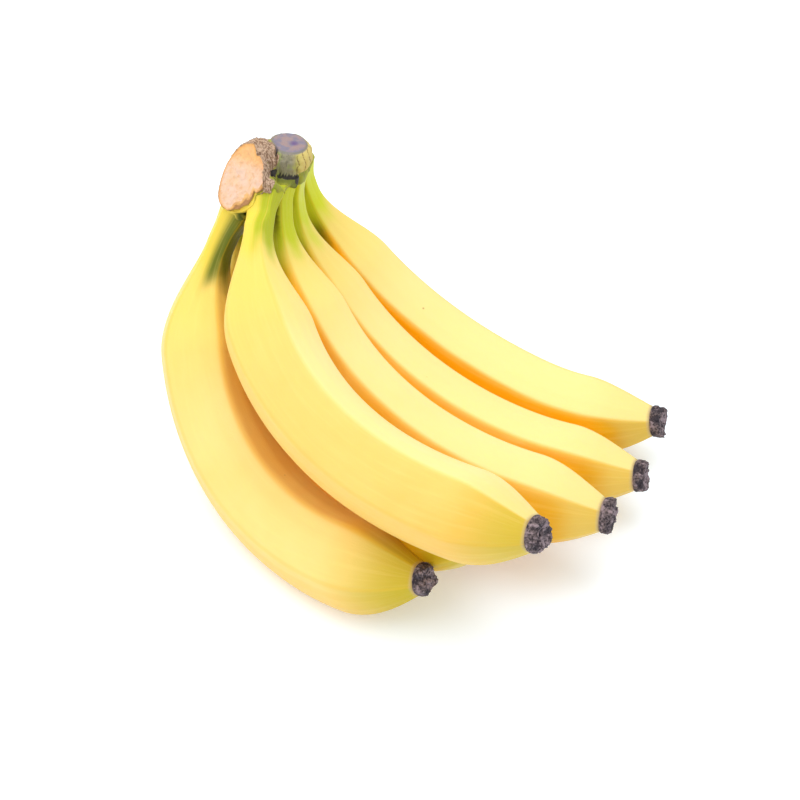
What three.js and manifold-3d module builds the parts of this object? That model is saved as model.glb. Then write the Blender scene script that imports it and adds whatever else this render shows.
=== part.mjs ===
// A bunch of six bananas, resting on the bellies of three of them with the cut crown held up in the air.
// Millimetres, +Z up, the fingers' blossom ends towards +X and the front of the bunch towards -Y.
import * as THREE from 'three';
import { mergeVertices } from 'three/addons/utils/BufferGeometryUtils.js';
import Module from 'manifold-3d';

const wasm = await Module();
wasm.setup();

// ---- Driving dimensions --------------------------------------------------------------------------------

const GAP = 0.3;              // air left between pieces that touch
const RIDGES = 5;             // a banana is a soft pentagon in section
const SIDES = 20;             // facets round a finger, four for each ridge
const RIDGE_HEIGHT = 0.042;   // how far the ridges stand out, as a share of the finger's radius
const RIDGE_SHARPNESS = 0.012; // a second, finer wave that narrows the ridges
const NECK_RIDGES = 0.03;     // the ridges stand out this much more on the neck
const RIDGE_TWIST = 14;       // degrees that the ridges turn on their way to the blossom end

const NECK_RADIUS = 6.0;      // the stalk-like neck between the crown and the fruit
const NECK_FLARE = 1.4;       // the neck widens by this much where it leaves the crown
const FLARE_LENGTH = 12;
const SHOULDER_START = 19;    // along the finger, where the neck begins to swell into the fruit
const SHOULDER_END = 66;
const NECK_SINK = 2;          // how far each neck runs up inside the crown
const NECK_SHARE = 0.3;       // the neck's extra bend dies away over this share of the finger
const EVEN_SHARE = 0.45;      // how much of the bend is spread evenly; the rest gathers in the middle
const HOOK_START = 0.72;      // the blossom end's hook begins at this share of the finger
const TAPER_LENGTH = 32;      // the blossom end narrows over this length
const END_SHARE = 0.385;      // the radius left at the blossom end, as a share of the full radius

const TIP_LENGTH = 4.2;       // the dried blossom stub at the end of each finger
const TIP_SIDES = 14;
const CRINKLES = 7;           // folds round the stub
const CRINKLE_DEPTH = 0.07;   // as a share of its radius

// Each finger: where its neck leaves the crown, the compass heading of its bend and how far that bend's
// plane leans over, the angle the neck starts at, the extra bend in the neck, the bend of the whole
// fruit, how early (under 1) or late (over 1) it bends, its sideways sway, the sideways hook of its
// blossom end, its length along the middle, its radius and the roll of its ridges. Angles in degrees.
const FINGERS = [
  { root: [-75.7, 57.2, 109.5], heading: -50.3, lean: 22.7, start: 0.3, neckBend: -12.5, bend: 114.2,
    early: 0.86, sway: -14.8, hook: -8.1, length: 225, radius: 19.6, roll: 20 },
  { root: [-63, 55.1, 123.5], heading: -37.4, lean: 49.7, start: 10.1, neckBend: 1.5, bend: 93.5,
    early: 0.69, sway: 7, hook: 2.5, length: 218, radius: 18.3, roll: 48 },
  { root: [-58, 64.6, 122.5], heading: -31, lean: 23.4, start: 6.4, neckBend: -4.1, bend: 94.5,
    early: 0.71, sway: 6.1, hook: -9.6, length: 225.3, radius: 18.0, roll: 44 },
  { root: [-54.5, 77.6, 115], heading: -35.8, lean: -3, start: 1.7, neckBend: -5.2, bend: 99.2,
    early: 0.65, sway: -17.6, hook: -8.4, length: 228.6, radius: 17.0, roll: 18 },
  { root: [-52.5, 92.1, 110.7], heading: -38.8, lean: -19.6, start: 0.8, neckBend: -6.8, bend: 98,
    early: 0.65, sway: -15.2, hook: -16, length: 225, radius: 17.0, roll: 23 },
  { root: [-73.5, 80.1, 102], heading: -54, lean: 10.5, start: -1.5, neckBend: -8, bend: 121.5,
    early: 0.7, sway: -13.5, hook: 0, length: 239.5, radius: 17.0, roll: 40 },
];

// ---- Small helpers --------------------------------------------------------------------------------------

const radians = THREE.MathUtils.degToRad;

function ease(x) {
  const t = THREE.MathUtils.clamp(x, 0, 1);
  return t * t * (3 - 2 * t);
}

// A closed geometry as a solid that can be joined and cut.
function toSolid(geometry) {
  const bare = geometry.clone();
  bare.deleteAttribute('normal');
  bare.deleteAttribute('uv');
  const welded = mergeVertices(bare, 1e-4);
  const corners = welded.index.array;
  const kept = [];
  for (let i = 0; i < corners.length; i += 3) {
    const [a, b, c] = [corners[i], corners[i + 1], corners[i + 2]];
    if (a !== b && b !== c && c !== a) kept.push(a, b, c);
  }
  const mesh = new wasm.Mesh({
    numProp: 3,
    vertProperties: new Float32Array(welded.attributes.position.array),
    triVerts: new Uint32Array(kept),
  });
  return new wasm.Manifold(mesh);
}

function toGeometry(solid) {
  const mesh = solid.getMesh();
  const geometry = new THREE.BufferGeometry();
  geometry.setAttribute('position', new THREE.BufferAttribute(mesh.vertProperties, 3));
  geometry.setIndex(new THREE.BufferAttribute(mesh.triVerts, 1));
  return geometry;
}

// ---- The fingers ----------------------------------------------------------------------------------------

// The middle line of a finger: a point and three directions (along the finger, towards the inside of
// its bend, and sideways) at any distance from the crown.
function middleLine(finger) {
  const heading = radians(finger.heading);
  const lean = radians(finger.lean);
  const forward = new THREE.Vector3(Math.cos(heading), Math.sin(heading), 0);
  const up = new THREE.Vector3(0, 0, 1);
  const down = up.clone().multiplyScalar(-Math.cos(lean));
  down.addScaledVector(forward.clone().cross(up), Math.sin(lean));
  const across = down.clone().cross(forward);

  function directions(share) {
    const t = THREE.MathUtils.clamp(share, 0, 1) ** finger.early;
    const turned = EVEN_SHARE * t + (1 - EVEN_SHARE) * ease(t);
    const neck = finger.neckBend * (1 - ease(share / NECK_SHARE));
    const pitch = radians(finger.start + neck + finger.bend * turned);
    const hook = finger.hook * ease((share - HOOK_START) / (1 - HOOK_START));
    const sway = radians(finger.sway * (share - 0.5) + hook);
    const inPlane = down.clone().multiplyScalar(Math.cos(pitch)).addScaledVector(forward, Math.sin(pitch));
    const along = inPlane.clone().multiplyScalar(Math.cos(sway)).addScaledVector(across, Math.sin(sway));
    const side = across.clone().multiplyScalar(Math.cos(sway)).addScaledVector(inPlane, -Math.sin(sway));
    const inward = down.clone().multiplyScalar(-Math.sin(pitch)).addScaledVector(forward, Math.cos(pitch));
    return { along, inward, side };
  }

  const STEPS = 48;
  const step = finger.length / STEPS;
  const points = [new THREE.Vector3(...finger.root)];
  for (let i = 0; i < STEPS; i += 1) {
    const middle = directions((i + 0.5) / STEPS).along;
    points.push(points[i].clone().addScaledVector(middle, step));
  }

  return (distance) => {
    const share = distance / finger.length;
    const frame = directions(share);
    const i = THREE.MathUtils.clamp(Math.floor(share * STEPS), 0, STEPS - 1);
    const point = points[i].clone().lerp(points[i + 1], share * STEPS - i);
    return { point, ...frame };
  };
}

// The radius of a finger at a distance from the crown, before its ridges.
function fingerRadius(finger, distance) {
  const full = finger.radius;
  const swell = ease((distance - SHOULDER_START) / (SHOULDER_END - SHOULDER_START));
  const flare = NECK_FLARE * (1 - ease(distance / FLARE_LENGTH));
  const neckToFull = NECK_RADIUS + (full - NECK_RADIUS) * swell + flare;
  const left = THREE.MathUtils.clamp((finger.length - distance) / TAPER_LENGTH, 0, 1);
  const taper = full * (END_SHARE + (1 - END_SHARE) * Math.sin(left * Math.PI / 2));
  return Math.min(neckToFull, taper);
}

// The share by which the ridges lift the skin at an angle round the finger.
function ridgeLift(finger, angle, distance) {
  const twist = RIDGE_TWIST * (distance / finger.length) ** 3;
  const phase = angle - radians(finger.roll + twist);
  const height = RIDGE_HEIGHT + NECK_RIDGES * (1 - ease(distance / SHOULDER_END));
  return 1 + height * Math.cos(RIDGES * phase) + RIDGE_SHARPNESS * Math.cos(2 * RIDGES * phase);
}

// Bends a straight lathed piece, whose Y is the distance along it, along a middle line.
// The line's three directions are left handed, so each triangle is turned over to keep facing outwards.
function bendAlong(geometry, line, liftAt) {
  const position = geometry.attributes.position;
  const vertex = new THREE.Vector3();
  for (let i = 0; i < position.count; i += 1) {
    vertex.fromBufferAttribute(position, i);
    const angle = Math.atan2(vertex.z, vertex.x);
    const reach = Math.hypot(vertex.x, vertex.z) * liftAt(angle, vertex.y);
    const { point, inward, side } = line(vertex.y);
    point.addScaledVector(inward, reach * Math.cos(angle));
    point.addScaledVector(side, reach * Math.sin(angle));
    position.setXYZ(i, point.x, point.y, point.z);
  }
  const corners = geometry.index.array;
  for (let i = 0; i < corners.length; i += 3) {
    [corners[i], corners[i + 1]] = [corners[i + 1], corners[i]];
  }
  return geometry;
}

// Distances from the crown at which a finger has a ring of corners: closer where its radius changes.
const NECK_RINGS = [-NECK_SINK, 0, 4, 8, 14, 21, 29, 37, 45, 53, 61];
const FRUIT_RINGS = 14;
const TAPER_RINGS = [0.3, 0.55, 0.75, 0.9, 1];

function ringDistances(finger) {
  const fruitStart = NECK_RINGS[NECK_RINGS.length - 1];
  const fruitEnd = finger.length - TAPER_LENGTH;
  const fruit = [];
  for (let i = 1; i <= FRUIT_RINGS; i += 1) {
    fruit.push(THREE.MathUtils.lerp(fruitStart, fruitEnd, i / FRUIT_RINGS));
  }
  const taper = TAPER_RINGS.map((share) => fruitEnd + share * TAPER_LENGTH);
  return [...NECK_RINGS, ...fruit, ...taper];
}

// One finger as a solid. Extra is added to its radius all over, to cut room for it in a neighbour.
function fingerSolid(finger, extra = 0) {
  const distances = ringDistances(finger);
  const first = distances[0] - extra;
  const last = distances[distances.length - 1] + extra;
  const profile = [new THREE.Vector2(0, first)];
  for (const distance of distances) {
    const end = THREE.MathUtils.clamp(distance, first, last);
    profile.push(new THREE.Vector2(fingerRadius(finger, Math.max(distance, 0)) + extra, end));
  }
  profile[1].y = first;
  profile[profile.length - 1].y = last;
  profile.push(new THREE.Vector2(0, last));
  const lift = (angle, distance) => ridgeLift(finger, angle, distance);
  return toSolid(bendAlong(new THREE.LatheGeometry(profile, SIDES), middleLine(finger), lift));
}

// ---- The dried blossom ends -----------------------------------------------------------------------------

// A short stub, a little wider than the end of the fruit, with a hollowed face.
function blossomTip(finger, extra = 0) {
  const start = finger.length + GAP;
  const end = finger.radius * END_SHARE + extra;
  const profile = [
    new THREE.Vector2(0, start),
    new THREE.Vector2(end, start),
    new THREE.Vector2(end + 0.5, start + 0.35 * TIP_LENGTH),
    new THREE.Vector2(end - 0.3, start + 0.8 * TIP_LENGTH),
    new THREE.Vector2(end - 2.0, start + TIP_LENGTH + extra),
    new THREE.Vector2(0, start + 0.75 * TIP_LENGTH + extra),
  ];
  const crinkle = (angle) => 1 + CRINKLE_DEPTH * Math.cos(CRINKLES * angle + finger.length);
  return toSolid(bendAlong(new THREE.LatheGeometry(profile, TIP_SIDES), middleLine(finger), crinkle));
}

// ---- The crown ------------------------------------------------------------------------------------------

// The pad that all the necks grow from, as a bent bar: points along its middle, from the front banana's
// neck round to the back one's. It is stoutest at the front.
const PAD_PATH = [[-74, 51.1, 112], [-74.2, 58.1, 121.5], [-70.5, 63.6, 129.5], [-62.5, 68.6, 126],
  [-55.5, 78.1, 119], [-54, 89.1, 114], [-54, 100.1, 109.5]];
const PAD_FRONT_RADIUS = 10.5;
const PAD_RADIUS = 8.8;
const PAD_FRONT = 30;         // the stout front runs down to the plain radius over this length
const PAD_HEIGHT = 0.12;      // how much taller than wide the bar is, as a share of its radius
const PAD_END = 8;            // its two ends are rounded over this length
const PAD_RINGS = 16;
const PAD_SIDES = 18;

// Two swellings on the pad, as centre and radius in X, Y and Z: the one the second neck hangs from, and
// the mass behind that the hidden sixth neck grows from.
const FRONT_SWELLING = { at: [-66, 56.3, 128], size: [4.9, 8.2, 8.8] };
const BACK_MASS = { at: [-68, 77, 114.5], size: [12.5, 13, 14.5] };
const LUMP_SIDES = 14;
const LUMP_RINGS = 9;

// The stub of stalk over the middle necks: a squat drum that overhangs them, cut flat on top. Its outline
// is a radius and a height over its foot.
const STUB = { foot: [-54.9, 71.6, 123.8], leanRight: 8 };
const STUB_OUTLINE = [[7.5, 0], [9.8, 1.2], [10.5, 4], [10.1, 7], [8.4, 9.4], [6.6, 10.4]];
const STUB_SIDES = 22;

// The long knife cut that took the bunch off its stalk: the way the cut face looks, and how far it is
// from the origin that way.
const SIDE_CUT = { normal: [-0.35, -0.75, 0.56], reach: 55.3 };

// What lies beyond a flat cut, as a block to take away.
function beyondCut({ normal, reach }) {
  const size = 400;
  const block = new THREE.BoxGeometry(size, size, size);
  const facing = new THREE.Vector3(...normal).normalize();
  block.translate(0, 0, size / 2 + reach);
  block.applyQuaternion(new THREE.Quaternion().setFromUnitVectors(new THREE.Vector3(0, 0, 1), facing));
  return toSolid(block);
}

// The pad: a straight round bar with rounded ends, bent along its path and made a little taller than wide.
function crownPad(extra) {
  const path = new THREE.CatmullRomCurve3(PAD_PATH.map((at) => new THREE.Vector3(...at)));
  const length = path.getLength();
  const up = new THREE.Vector3(0, 0, 1);

  function line(distance) {
    const share = THREE.MathUtils.clamp(distance / length, 0, 1);
    const along = path.getTangentAt(share);
    const side = new THREE.Vector3().crossVectors(along, up).normalize();
    const inward = new THREE.Vector3().crossVectors(side, along);
    return { point: path.getPointAt(share), inward, side };
  }

  const profile = [];
  for (let i = 0; i <= PAD_RINGS; i += 1) {
    const distance = (length / 2) * (1 - Math.cos((Math.PI * i) / PAD_RINGS));
    const fromEnd = Math.min(distance, length - distance, PAD_END) / PAD_END;
    const full = THREE.MathUtils.lerp(PAD_FRONT_RADIUS, PAD_RADIUS, ease(distance / PAD_FRONT)) + extra;
    profile.push(new THREE.Vector2(full * Math.sqrt(1 - (1 - fromEnd) ** 2), distance));
  }
  const taller = (angle) => 1 + PAD_HEIGHT * Math.cos(2 * angle);
  return toSolid(bendAlong(new THREE.LatheGeometry(profile, PAD_SIDES), line, taller));
}

function crownLump({ at, size }, extra) {
  const ball = new THREE.SphereGeometry(1, LUMP_SIDES, LUMP_RINGS);
  ball.scale(...size.map((radius) => radius + extra));
  ball.translate(...at);
  return toSolid(ball);
}

function stalkStub(extra) {
  const profile = STUB_OUTLINE.map(([radius, height]) => new THREE.Vector2(radius + extra, height));
  const last = STUB_OUTLINE[STUB_OUTLINE.length - 1][1];
  profile.unshift(new THREE.Vector2(0, -extra), new THREE.Vector2(STUB_OUTLINE[0][0], -extra));
  profile.push(new THREE.Vector2(0, last));
  const stub = new THREE.LatheGeometry(profile, STUB_SIDES);
  stub.rotateX(Math.PI / 2);
  stub.rotateY(radians(STUB.leanRight));
  stub.translate(...STUB.foot);
  return toSolid(stub);
}

// The crown. Extra is added all over, to cut room for it in the necks.
function crownSolid(extra = 0) {
  const cut = beyondCut({ normal: SIDE_CUT.normal, reach: SIDE_CUT.reach + extra });
  const pad = crownPad(extra).add(crownLump(BACK_MASS, extra)).subtract(cut);
  return pad.add(crownLump(FRONT_SWELLING, extra)).add(stalkStub(extra));
}

// ---- The bunch ------------------------------------------------------------------------------------------

const SKIN = new THREE.MeshStandardMaterial({ color: '#e8c64c', roughness: 0.42, metalness: 0 });
const DRIED_TIP = new THREE.MeshStandardMaterial({ color: '#3a2d2b', roughness: 0.85, metalness: 0 });
const CUT_CROWN = new THREE.MeshStandardMaterial({ color: '#cba56c', roughness: 0.7, metalness: 0 });

const bunch = new THREE.Group();

function addPiece(name, solid, material) {
  const mesh = new THREE.Mesh(toGeometry(solid), material);
  mesh.name = name;
  bunch.add(mesh);
}

addPiece('crown', crownSolid(), CUT_CROWN);

// Each finger is cleared of the crown, of the fingers and tips before it where they press together, and
// of the floor.
const floor = beyondCut({ normal: [0, 0, -1], reach: 0 });
const crownRoom = crownSolid(GAP);
FINGERS.forEach((finger, i) => {
  let solid = fingerSolid(finger).subtract(crownRoom);
  for (const earlier of FINGERS.slice(0, i)) {
    solid = solid.subtract(fingerSolid(earlier, GAP)).subtract(blossomTip(earlier, GAP));
  }
  addPiece(`banana_${i + 1}`, solid.subtract(floor), SKIN);
  addPiece(`blossom_tip_${i + 1}`, blossomTip(finger), DRIED_TIP);
});

export default bunch;
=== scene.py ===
# A bunch of six bananas, cut from its stalk and lying on the bellies of three of them, with the cut
# crown held up in the air by the necks. The scene is in metres, with +Z up, the blossom ends towards +X
# and the front towards -Y. Shapes are worked out in millimetres until their mesh is made.
import math

import bpy
import numpy as np
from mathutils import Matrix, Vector, noise


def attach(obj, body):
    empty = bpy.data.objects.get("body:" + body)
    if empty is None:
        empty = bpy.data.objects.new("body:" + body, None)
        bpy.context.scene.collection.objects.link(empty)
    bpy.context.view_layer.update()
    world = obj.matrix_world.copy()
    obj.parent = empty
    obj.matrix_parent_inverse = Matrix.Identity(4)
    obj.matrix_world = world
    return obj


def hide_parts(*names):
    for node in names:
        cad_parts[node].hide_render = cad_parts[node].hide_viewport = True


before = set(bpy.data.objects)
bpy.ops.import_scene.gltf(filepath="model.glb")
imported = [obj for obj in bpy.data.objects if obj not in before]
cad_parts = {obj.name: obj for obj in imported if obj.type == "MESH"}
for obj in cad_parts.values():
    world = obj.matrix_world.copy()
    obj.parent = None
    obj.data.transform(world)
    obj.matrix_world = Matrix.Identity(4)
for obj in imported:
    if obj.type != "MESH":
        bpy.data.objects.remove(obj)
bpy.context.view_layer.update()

# ---- The six bananas -----------------------------------------------------------------------------------
# Each banana is one grown fruit with a smooth waxy skin over five soft ridges, running up into a slim
# neck. They grow side by side from the crown, press on one another and bend up towards the light.

MM = 0.001
RIDGES = 5
RIDGE_HEIGHT = 0.042     # the ridges and their two finer waves, as shares of the finger's radius
RIDGE_SHARPNESS = 0.012
RIDGE_FINE_WAVE = 0.007
NECK_RIDGES = 0.03       # the ridges stand out this much more on the neck
RIDGE_TWIST = 14         # degrees that the ridges turn on their way to the blossom end
UNEVENNESS = 0.009
NECK_RADIUS = 6.0
NECK_FLARE = 1.4         # the neck is this much wider where it leaves the crown
FLARE_LENGTH = 12
SHOULDER_START = 19      # along the finger, where the neck begins to swell into the fruit
SHOULDER_END = 66
NECK_SINK = 2            # how far each neck runs up under the crown's edge
NECK_SHARE = 0.3         # the neck's extra bend dies away over this share of the finger
EVEN_SHARE = 0.45        # how much of the bend is spread evenly; the rest gathers in the middle
HOOK_START = 0.72        # the blossom end's hook begins at this share of the finger
TAPER_LENGTH = 32        # the blossom end narrows over this length
TABLE_NEARNESS = 16      # skin this near the table gets the painted shade of a facing neighbour

# The long knife cut through the crown: the way it faces, how far out it lies, how deep under its face the
# necks stop, and how far down a neck it can reach.
CUT_FACING = np.array((-0.35, -0.75, 0.56))
CUT_FACING /= np.linalg.norm(CUT_FACING)
CUT_REACH = 55.3
UNDER_CUT = 0.9
CUT_NECK_LENGTH = 18

# Each finger in millimetres and degrees. First its shape: where its neck leaves the crown, the heading of
# its bend and how far that bend leans over, the angle it starts at, the extra bend in its neck, the bend
# of the whole fruit, how early it bends (the lower, the earlier), its sideways sway, the hook of its
# blossom end, its length and radius, the share of the radius left at the end, and the roll of its ridges.
# Then its skin: pressed is the orange flank that faces its neighbours, mostly painted shade and bounced
# light and partly the skin's own deeper orange (the angle where it begins, how far round it goes, and how
# strong it is near the neck and near the end), green is how far the unripe colour runs down, fresh how
# bright that green is, sunlit how much painted light pales the open flank, cover how far the crown runs
# down over the neck, and ripe_end how strongly the skin goes olive towards the blossom end.
FINGERS = [
    dict(root=(-75.7, 57.2, 109.5), heading=-50.3, lean=22.7, start=0.3, neck_bend=-12.5, bend=114.2,
         early=0.86, sway=-14.8, hook=-8.1, length=225, radius=19.6, end=0.33, roll=20,
         pressed=(0, -105, 0.5, 0.1), green=27, fresh=-1.1, sunlit=0.35, cover=-1.0, ripe_end=0.95),
    dict(root=(-63, 55.1, 123.5), heading=-37.4, lean=49.7, start=10.1, neck_bend=1.5, bend=93.5,
         early=0.69, sway=7, hook=2.5, length=218, radius=18.3, end=0.385, roll=48,
         pressed=(0, 170, 0.0, 0.2), green=24, fresh=0.1, sunlit=0.9, cover=0.5, ripe_end=0.75),
    dict(root=(-58, 64.6, 122.5), heading=-31, lean=23.4, start=6.4, neck_bend=-4.1, bend=94.5,
         early=0.71, sway=6.1, hook=-9.6, length=225.3, radius=18.0, end=0.385, roll=44,
         pressed=(0, 200, 1.0, 0.9), green=27, fresh=0.6, sunlit=0.9, cover=4.5, ripe_end=0.4),
    dict(root=(-54.5, 77.6, 115), heading=-35.8, lean=-3, start=1.7, neck_bend=-5.2, bend=99.2,
         early=0.65, sway=-17.6, hook=-8.4, length=228.6, radius=17.0, end=0.385, roll=18,
         pressed=(0, 200, 1.0, 0.9), green=27, fresh=0.9, sunlit=0.9, cover=2.0, ripe_end=0.4),
    dict(root=(-52.5, 92.1, 110.7), heading=-38.8, lean=-19.6, start=0.8, neck_bend=-6.8, bend=98,
         early=0.65, sway=-15.2, hook=-16, length=225, radius=17.0, end=0.385, roll=23,
         pressed=(0, 200, 1.0, 0.9), green=26, fresh=1.0, sunlit=0.9, cover=1.0, ripe_end=0.5),
    dict(root=(-73.5, 80.1, 102), heading=-54, lean=10.5, start=-1.5, neck_bend=-8, bend=121.5,
         early=0.7, sway=-13.5, hook=0, length=239.5, radius=17.0, end=0.385, roll=40,
         pressed=(-180, 360, 0.9, 0.9), green=24, fresh=0.0, sunlit=0.5, cover=2.0, ripe_end=0.95),
]


def ease(x):
    """0 below 0, 1 above 1, and a soft step between."""
    t = np.clip(x, 0.0, 1.0)
    return t * t * (3 - 2 * t)


def directions(finger, share):
    """Unit vectors along the finger, towards the inside of its bend and sideways, for each share."""
    heading = math.radians(finger["heading"])
    lean = math.radians(finger["lean"])
    forward = np.array([math.cos(heading), math.sin(heading), 0.0])
    up = np.array([0.0, 0.0, 1.0])
    down = -math.cos(lean) * up + math.sin(lean) * np.cross(forward, up)
    across = np.cross(down, forward)
    t = np.clip(share, 0, 1) ** finger["early"]
    turned = EVEN_SHARE * t + (1 - EVEN_SHARE) * ease(t)
    neck = finger["neck_bend"] * (1 - ease(share / NECK_SHARE))
    hook = finger["hook"] * ease((share - HOOK_START) / (1 - HOOK_START))
    pitch = np.radians(finger["start"] + neck + finger["bend"] * turned)[:, None]
    sway = np.radians(finger["sway"] * (share - 0.5) + hook)[:, None]
    in_plane = down * np.cos(pitch) + forward * np.sin(pitch)
    along = in_plane * np.cos(sway) + across * np.sin(sway)
    side = across * np.cos(sway) - in_plane * np.sin(sway)
    inward = -down * np.sin(pitch) + forward * np.cos(pitch)
    return along, inward, side


def middle_line(finger, distances):
    """Points on the finger's middle line, with their directions, at distances from the crown."""
    steps = 480
    step = finger["length"] / steps
    middles = (np.arange(steps) + 0.5) / steps
    along = directions(finger, middles)[0]
    travelled = np.vstack([np.zeros(3), np.cumsum(along * step, axis=0)])
    stations = np.arange(steps + 1) * step
    points = np.array([np.interp(distances, stations, travelled[:, k]) for k in range(3)]).T
    before = np.minimum(distances, 0)[:, None]
    after = np.maximum(distances - finger["length"], 0)[:, None]
    along, inward, side = directions(finger, distances / finger["length"])
    points = points + np.array(finger["root"]) + (before + after) * along
    return points, along, inward, side


def finger_radius(finger, distances):
    full = finger["radius"]
    swell = ease((distances - SHOULDER_START) / (SHOULDER_END - SHOULDER_START))
    flare = NECK_FLARE * (1 - ease(distances / FLARE_LENGTH))
    neck_to_full = NECK_RADIUS + (full - NECK_RADIUS) * swell + flare
    left = np.clip((finger["length"] - distances) / TAPER_LENGTH, 0, 1)
    end = finger["end"]
    taper = full * (end + (1 - end) * np.sin(left * np.pi / 2))
    return np.minimum(neck_to_full, taper)


def nearness(number, points, outward):
    """How closely each spot of one finger faces another finger or the table, from 0 to 1; the skin paints
    shade there.
    """
    close = 0.5 * ease(1 - points[:, 2] / TABLE_NEARNESS) * ease(-outward[:, 2])
    for other, finger in enumerate(FINGERS, 1):
        if other == number:
            continue
        distances = np.linspace(0, finger["length"], 70)
        line = middle_line(finger, distances)[0]
        radius = finger_radius(finger, distances)
        to_line = line[None] - points[:, None]
        far = np.linalg.norm(to_line, axis=2)
        nearest = np.argmin(far - radius[None], axis=1)
        rows = np.arange(len(points))
        gap = far[rows, nearest] - radius[nearest]
        facing = (to_line[rows, nearest] * outward).sum(1) / far[rows, nearest]
        close = np.maximum(close, ease(1 - gap / 15) * ease((facing - 0.10) / 0.7))
    return close


def deep_and_shaded_flank(finger, phase, distances):
    """How deep the orange is on the flank that faces its neighbours, from 0 to 1: mostly painted shade
    and bounced light, partly the skin's own deeper orange.
    """
    edge, reach, at_neck, at_end = finger["pressed"]
    past = (np.degrees(phase) - edge) * np.sign(reach)
    past = (past + 70) % 360 - 70
    depth = 0.6 * ease((past + 5) / 8) + 0.4 * ease((past - 3) / 20)
    depth *= ease((abs(reach) - past) / 40)
    along = at_neck + (at_end - at_neck) * ease((distances - 80) / (finger["length"] - 90))
    return depth * along * ease((distances - 30) / 25) * ease((finger["length"] - distances - 4) / 16)


def sunlit_flank(finger, phase, distances):
    """The flat between the top ridge and the next one on its open side, made palest by painted light."""
    edge, reach = finger["pressed"][:2]
    past = (edge - np.degrees(phase)) * np.sign(reach)
    past = (past + 180) % 360 - 180
    pale = finger["sunlit"] * ease((past + 5) / 9) * ease((105 - past) / 40)
    return pale * (0.7 + 0.3 * ease((distances - 30) / 60))


def add_marks(mesh, marks):
    """Smooth shading, and one number on every vertex for each mark that the material reads."""
    for key, values in marks.items():
        layer = mesh.attributes.new(key, "FLOAT", "POINT")
        layer.data.foreach_set("value", values.astype(np.float32).ravel())
    mesh.polygons.foreach_set("use_smooth", [True] * len(mesh.polygons))


def tube_mesh(name, rings, marks):
    """A closed skin over rings of points, each ring listed clockwise looking along the tube."""
    count, sides = rings.shape[:2]
    i, j = np.meshgrid(np.arange(count - 1), np.arange(sides), indexing="ij")
    k = (j + 1) % sides
    quads = np.stack([i * sides + j, i * sides + k, (i + 1) * sides + k, (i + 1) * sides + j], -1)
    faces = quads.reshape(-1, 4).tolist()
    faces.append(list(range(sides))[::-1])
    faces.append([(count - 1) * sides + n for n in range(sides)])
    mesh = bpy.data.meshes.new(name)
    mesh.from_pydata((rings * MM).reshape(-1, 3).tolist(), [], faces)
    add_marks(mesh, marks)
    mesh.validate()
    return mesh


def place(name, mesh, material, nodes):
    """Puts a finished mesh in the scene in the place of its solids."""
    piece = bpy.data.objects.new(name, mesh)
    bpy.context.scene.collection.objects.link(piece)
    piece.data.materials.append(material)
    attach(piece, "root")
    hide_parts(*nodes)


def waves(u, v, seed):
    """A smooth seeded unevenness between about -1 and 1 over two directions."""
    count = 5
    rng = np.random.default_rng(seed)
    total = np.zeros_like(u)
    for _ in range(count):
        ku = rng.uniform(0.5, 2.4)
        kv = rng.integers(1, 4)
        total += np.sin(ku * u + kv * v + rng.uniform(0, 6.28)) / count
    return total


FINGER_SIDES = 120
FINGER_RINGS = 280


def finger_mesh(finger, number):
    distances = np.linspace(finger["cover"] - NECK_SINK, finger["length"], FINGER_RINGS)
    angles = np.linspace(0, 2 * np.pi, FINGER_SIDES, endpoint=False)
    points, _, inward, side = middle_line(finger, distances)
    d, a = np.meshgrid(distances, angles, indexing="ij")
    share = np.clip(d / finger["length"], 0, 1)
    phase = a - np.radians(finger["roll"] + RIDGE_TWIST * share ** 3)
    height = RIDGE_HEIGHT + NECK_RIDGES * (1 - ease(d / SHOULDER_END))
    lift = 1 + height * np.cos(RIDGES * phase) + RIDGE_SHARPNESS * np.cos(2 * RIDGES * phase)
    lift += RIDGE_FINE_WAVE * np.cos(3 * RIDGES * phase)
    lift += UNEVENNESS * waves(d / 38, a, number)
    reach = finger_radius(finger, d) * lift
    outward = inward[:, None] * np.cos(a)[..., None] + side[:, None] * np.sin(a)[..., None]
    rings = points[:, None] + outward * reach[..., None]

    # The table flattens the belly, and the knife cut the top of the necks in front.
    rings[..., 2] = np.maximum(rings[..., 2], 0.0)
    beyond = np.clip(rings @ CUT_FACING - CUT_REACH + UNDER_CUT, 0, None)
    rings -= (beyond * ease((CUT_NECK_LENGTH - d) / 8))[..., None] * CUT_FACING

    near = nearness(number, rings.reshape(-1, 3), outward.reshape(-1, 3)).reshape(d.shape)
    # Marks for painted light: near and pressed carry painted shade and bounced light (pressed partly the
    # skin's own deeper orange), sunlit a painted highlight on the open flank, and left_side the neck's
    # yellow side, partly painted light.
    marks = {
        "from_crown": d,
        "to_tip": finger["length"] - d,
        "ridge": np.cos(RIDGES * phase),
        "around": a,
        "near": near,
        "pressed": deep_and_shaded_flank(finger, phase, d),
        "sunlit": sunlit_flank(finger, phase, d),
        "left_side": ease((0.05 - outward[..., 0]) / 0.6) * ease((0.6 - near) / 0.4),
    }
    return tube_mesh("finger", rings[:, ::-1], {key: values[:, ::-1] for key, values in marks.items()})


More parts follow.
